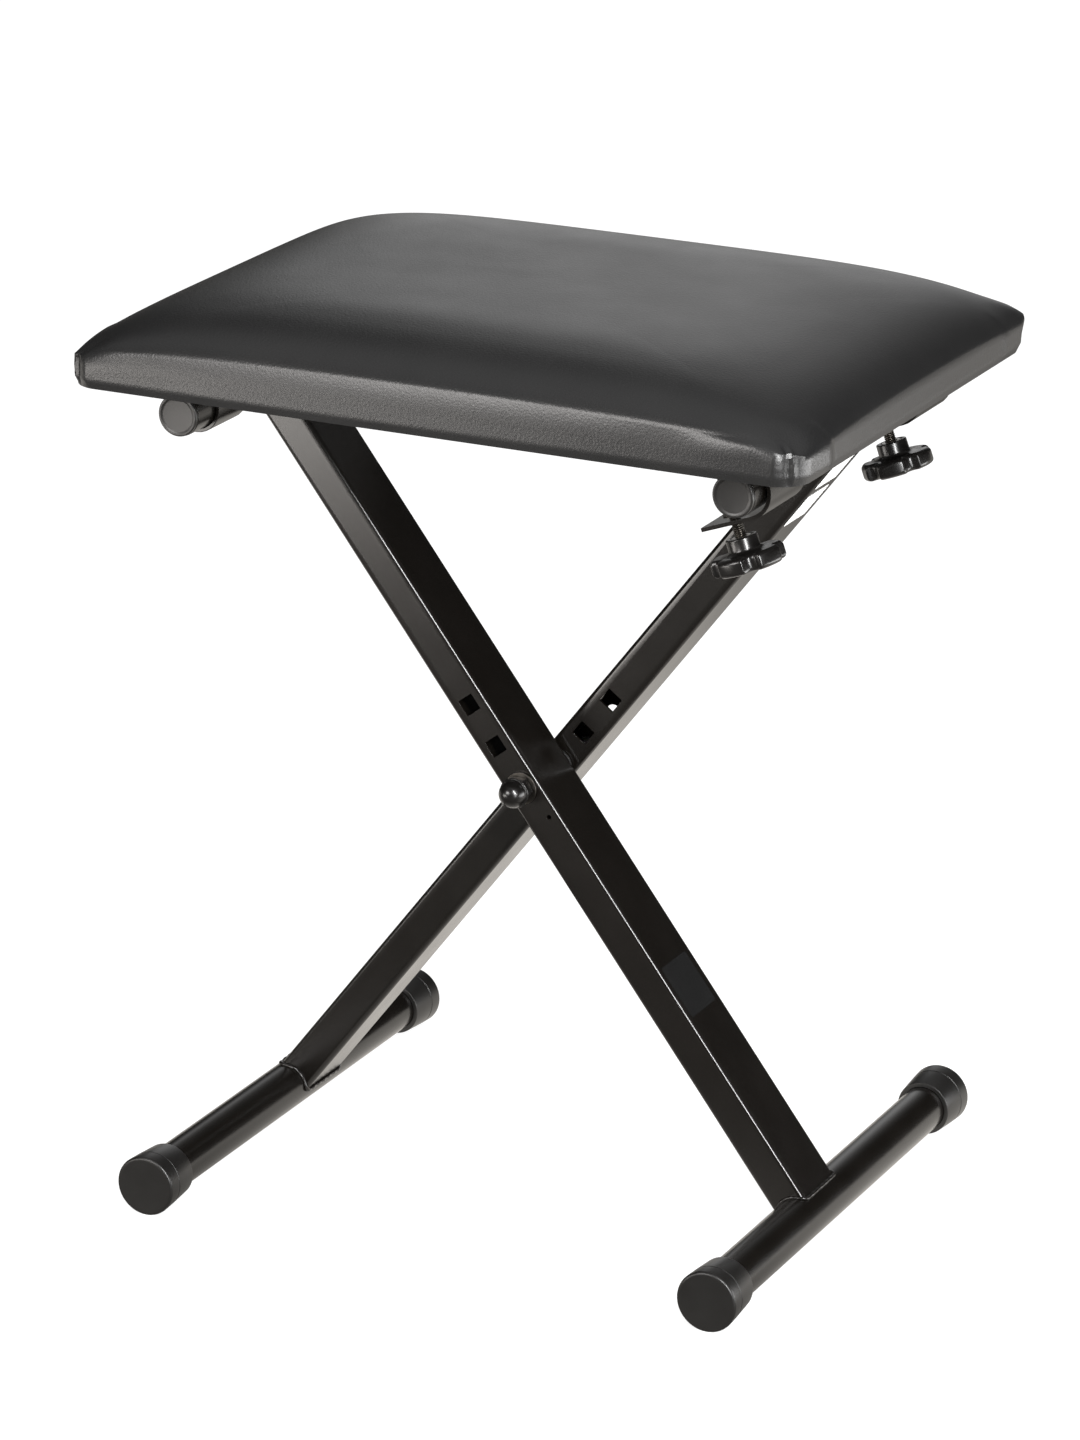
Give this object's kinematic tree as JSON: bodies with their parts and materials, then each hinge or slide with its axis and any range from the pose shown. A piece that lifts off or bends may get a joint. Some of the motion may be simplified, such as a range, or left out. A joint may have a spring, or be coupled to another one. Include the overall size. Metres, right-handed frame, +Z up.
{
  "type": "folding keyboard bench",
  "caption": "Padded rectangular seat in black vinyl on a black tubular steel X frame that folds about a central bolt, with sprung clamps and star knobs under one side of the seat.",
  "frame": {"origin": "on the floor under the middle of the bench", "axes": "+Z up, +X to the right of someone who looks at the bench's front, +Y to the back, along the cross tubes"},
  "size_m": [0.4, 0.307, 0.4799],
  "materials": {
    "black_vinyl": "fine-grained satin black vinyl",
    "seat_foam": "open-cell upholstery foam",
    "plywood": "raw plywood",
    "black_felt": "thin non-woven dust cover",
    "black_paint": "satin black powder coat on steel",
    "satin_plastic": "satin black moulded plastic",
    "gloss_plastic": "gloss black moulded plastic",
    "zinc_steel": "bright zinc-plated steel"
  },
  "bodies": {
    "rear_frame": {"rear_leg": "black_paint", "rear_leg_top_weld": "black_paint", "rear_leg_foot_weld": "black_paint", "right_cross_tube": "black_paint", "near_right_tube_plug": "satin_plastic", "far_right_tube_plug": "satin_plastic", "left_foot_tube": "black_paint", "near_left_foot_cap": "satin_plastic", "far_left_foot_cap": "satin_plastic", "pivot_bolt": "zinc_steel", "pivot_rear_washer": "zinc_steel", "pivot_spacer": "satin_plastic", "pivot_front_washer": "zinc_steel", "pivot_cap_nut": "zinc_steel"},
    "front_frame": {"front_leg": "black_paint", "front_leg_top_weld": "black_paint", "front_leg_foot_weld": "black_paint", "left_cross_tube": "black_paint", "near_left_tube_plug": "satin_plastic", "far_left_tube_plug": "satin_plastic", "right_foot_tube": "black_paint", "near_right_foot_cap": "satin_plastic", "far_right_foot_cap": "satin_plastic"},
    "seat": {"seat_cover": "black_vinyl", "seat_foam": "seat_foam", "seat_board": "plywood", "dust_cover": "black_felt", "near_tee_nut": "zinc_steel", "far_tee_nut": "zinc_steel", "near_hinge_plate": "black_paint", "far_hinge_plate": "black_paint", "near_hinge_saddle": "black_paint", "far_hinge_saddle": "black_paint", "near_hinge_outer_screw": "zinc_steel", "near_hinge_inner_screw": "zinc_steel", "far_hinge_outer_screw": "zinc_steel", "far_hinge_inner_screw": "zinc_steel"},
    "near_clamp": {"near_clamp_strap": "black_paint"},
    "near_stud_washer": {"near_stud_retainer": "zinc_steel"},
    "near_knob_and_stud": {"near_knob": "gloss_plastic", "near_knob_insert": "zinc_steel", "near_knob_stud": "zinc_steel"},
    "far_clamp": {"far_clamp_strap": "black_paint"},
    "far_stud_washer": {"far_stud_retainer": "zinc_steel"},
    "far_knob_and_stud": {"far_knob": "gloss_plastic", "far_knob_insert": "zinc_steel", "far_knob_stud": "zinc_steel"}
  },
  "joints": [
    {"name": "leg_fold", "type": "hinge", "parent": "rear_frame", "child": "front_frame", "pos_m": [0.0055, 0, 0.22385], "axis": [0, -1, 0], "range_deg": [0, 91]},
    {"name": "seat_tilt", "type": "hinge", "parent": "front_frame", "child": "seat", "pos_m": [-0.1455, 0.0035, 0.4218], "axis": [0, -1, 0], "range_deg": [-45.5, 0]},
    {"name": "near_clamp_turn", "type": "hinge", "parent": "rear_frame", "child": "near_clamp", "pos_m": [0.1565, -0.0905, 0.4218], "axis": [0, -1, 0], "range_deg": [0, 45.5]},
    {"name": "far_clamp_turn", "type": "hinge", "parent": "rear_frame", "child": "far_clamp", "pos_m": [0.1565, 0.0975, 0.4218], "axis": [0, -1, 0], "range_deg": [0, 45.5]},
    {"name": "near_knob_lift", "type": "slide", "parent": "near_clamp", "child": "near_stud_washer", "axis": [-0.342, 0, 0.9397], "range_m": [0, 0.0075]},
    {"name": "near_knob_spin", "type": "hinge", "parent": "near_stud_washer", "child": "near_knob_and_stud", "pos_m": [0.13799, -0.0905, 0.41506], "axis": [-0.342, 0, 0.9397], "continuous": true},
    {"name": "far_knob_lift", "type": "slide", "parent": "far_clamp", "child": "far_stud_washer", "axis": [-0.342, 0, 0.9397], "range_m": [0, 0.0075]},
    {"name": "far_knob_spin", "type": "hinge", "parent": "far_stud_washer", "child": "far_knob_and_stud", "pos_m": [0.13799, 0.0975, 0.41506], "axis": [-0.342, 0, 0.9397], "continuous": true}
  ],
  "couplings": [
    {"joint": "seat_tilt", "follows": "leg_fold", "ratio": -0.5},
    {"joint": "near_clamp_turn", "follows": "leg_fold", "ratio": 0.5},
    {"joint": "far_clamp_turn", "follows": "leg_fold", "ratio": 0.5}
  ]
}
